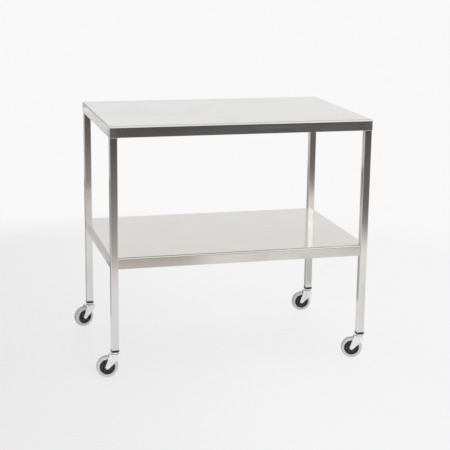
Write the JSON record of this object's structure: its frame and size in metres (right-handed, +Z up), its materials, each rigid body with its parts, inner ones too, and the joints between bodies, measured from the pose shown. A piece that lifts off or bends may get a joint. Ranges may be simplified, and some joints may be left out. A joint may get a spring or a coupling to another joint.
{
  "type": "instrument back table",
  "caption": "Stainless instrument back table: folded work top with turned-down edges over a notched under-shelf, on square tube legs with free swivel casters.",
  "frame": {"origin": "on the floor, in the middle of the box round the table and its casters as they trail at rest", "axes": "+X along the table's length, +Y to its rear, +Z up out of the work top"},
  "size_m": [0.9659, 0.6238, 0.8634],
  "materials": {
    "stainless": "fine brushed stainless sheet and tube",
    "zinc": "bright zinc plate",
    "bearing_steel": "ground steel, lightly greased",
    "black_nylon": "moulded satin black",
    "grey_rubber": "non-marking pale grey tread",
    "acetal": "smooth white bearing plastic"
  },
  "bodies": {
    "frame": {"table_top": "stainless", "shelf": "stainless", "top_stiffener": "stainless", "shelf_stiffener": "stainless", "leg_front_left": "stainless", "leg_rear_left": "stainless", "leg_front_right": "stainless", "leg_rear_right": "stainless", "insert_front_left": "black_nylon", "insert_rear_left": "black_nylon", "insert_front_right": "black_nylon", "insert_rear_right": "black_nylon", "stem_front_left": "zinc", "stem_rear_left": "zinc", "stem_front_right": "zinc", "stem_rear_right": "zinc", "race_cup_front_left": "zinc", "race_cup_rear_left": "zinc", "race_cup_front_right": "zinc", "race_cup_rear_right": "zinc", "washer_front_left": "zinc", "washer_rear_left": "zinc", "washer_front_right": "zinc", "washer_rear_right": "zinc"},
    "swivel_front_left": {"fork_front_left": "zinc", "ball_ring_front_left": "bearing_steel", "axle_bolt_front_left": "zinc", "axle_nut_front_left": "zinc", "axle_sleeve_front_left": "bearing_steel"},
    "swivel_rear_left": {"fork_rear_left": "zinc", "ball_ring_rear_left": "bearing_steel", "axle_bolt_rear_left": "zinc", "axle_nut_rear_left": "zinc", "axle_sleeve_rear_left": "bearing_steel"},
    "swivel_front_right": {"fork_front_right": "zinc", "ball_ring_front_right": "bearing_steel", "axle_bolt_front_right": "zinc", "axle_nut_front_right": "zinc", "axle_sleeve_front_right": "bearing_steel"},
    "swivel_rear_right": {"fork_rear_right": "zinc", "ball_ring_rear_right": "bearing_steel", "axle_bolt_rear_right": "zinc", "axle_nut_rear_right": "zinc", "axle_sleeve_rear_right": "bearing_steel"},
    "wheel_front_left": {"hub_front_left": "black_nylon", "tyre_front_left": "grey_rubber", "wheel_bush_front_left": "acetal"},
    "wheel_rear_left": {"hub_rear_left": "black_nylon", "tyre_rear_left": "grey_rubber", "wheel_bush_rear_left": "acetal"},
    "wheel_front_right": {"hub_front_right": "black_nylon", "tyre_front_right": "grey_rubber", "wheel_bush_front_right": "acetal"},
    "wheel_rear_right": {"hub_rear_right": "black_nylon", "tyre_rear_right": "grey_rubber", "wheel_bush_rear_right": "acetal"}
  },
  "joints": [
    {"name": "swivel_turn_front_left", "type": "hinge", "parent": "frame", "child": "swivel_front_left", "pos_m": [-0.41795, -0.2903, 0.0845], "axis": [0, 0, 1], "continuous": true},
    {"name": "swivel_turn_rear_left", "type": "hinge", "parent": "frame", "child": "swivel_rear_left", "pos_m": [-0.41795, 0.2903, 0.0845], "axis": [0, 0, 1], "continuous": true},
    {"name": "swivel_turn_front_right", "type": "hinge", "parent": "frame", "child": "swivel_front_right", "pos_m": [0.46745, -0.2903, 0.0845], "axis": [0, 0, 1], "continuous": true},
    {"name": "swivel_turn_rear_right", "type": "hinge", "parent": "frame", "child": "swivel_rear_right", "pos_m": [0.46745, 0.2903, 0.0845], "axis": [0, 0, 1], "continuous": true},
    {"name": "wheel_spin_front_left", "type": "hinge", "parent": "swivel_front_left", "child": "wheel_front_left", "pos_m": [-0.4443, -0.28753, 0.0375], "axis": [0.1045, 0.9945, 0], "continuous": true},
    {"name": "wheel_spin_rear_left", "type": "hinge", "parent": "swivel_rear_left", "child": "wheel_rear_left", "pos_m": [-0.44269, 0.2808, 0.0375], "axis": [-0.3584, 0.9336, 0], "continuous": true},
    {"name": "wheel_spin_front_right", "type": "hinge", "parent": "swivel_front_right", "child": "wheel_front_right", "pos_m": [0.44211, -0.28255, 0.0375], "axis": [0.2924, 0.9563, 0], "continuous": true},
    {"name": "wheel_spin_rear_right", "type": "hinge", "parent": "swivel_rear_right", "child": "wheel_rear_right", "pos_m": [0.4411, 0.29307, 0.0375], "axis": [0.1045, 0.9945, 0], "continuous": true}
  ]
}
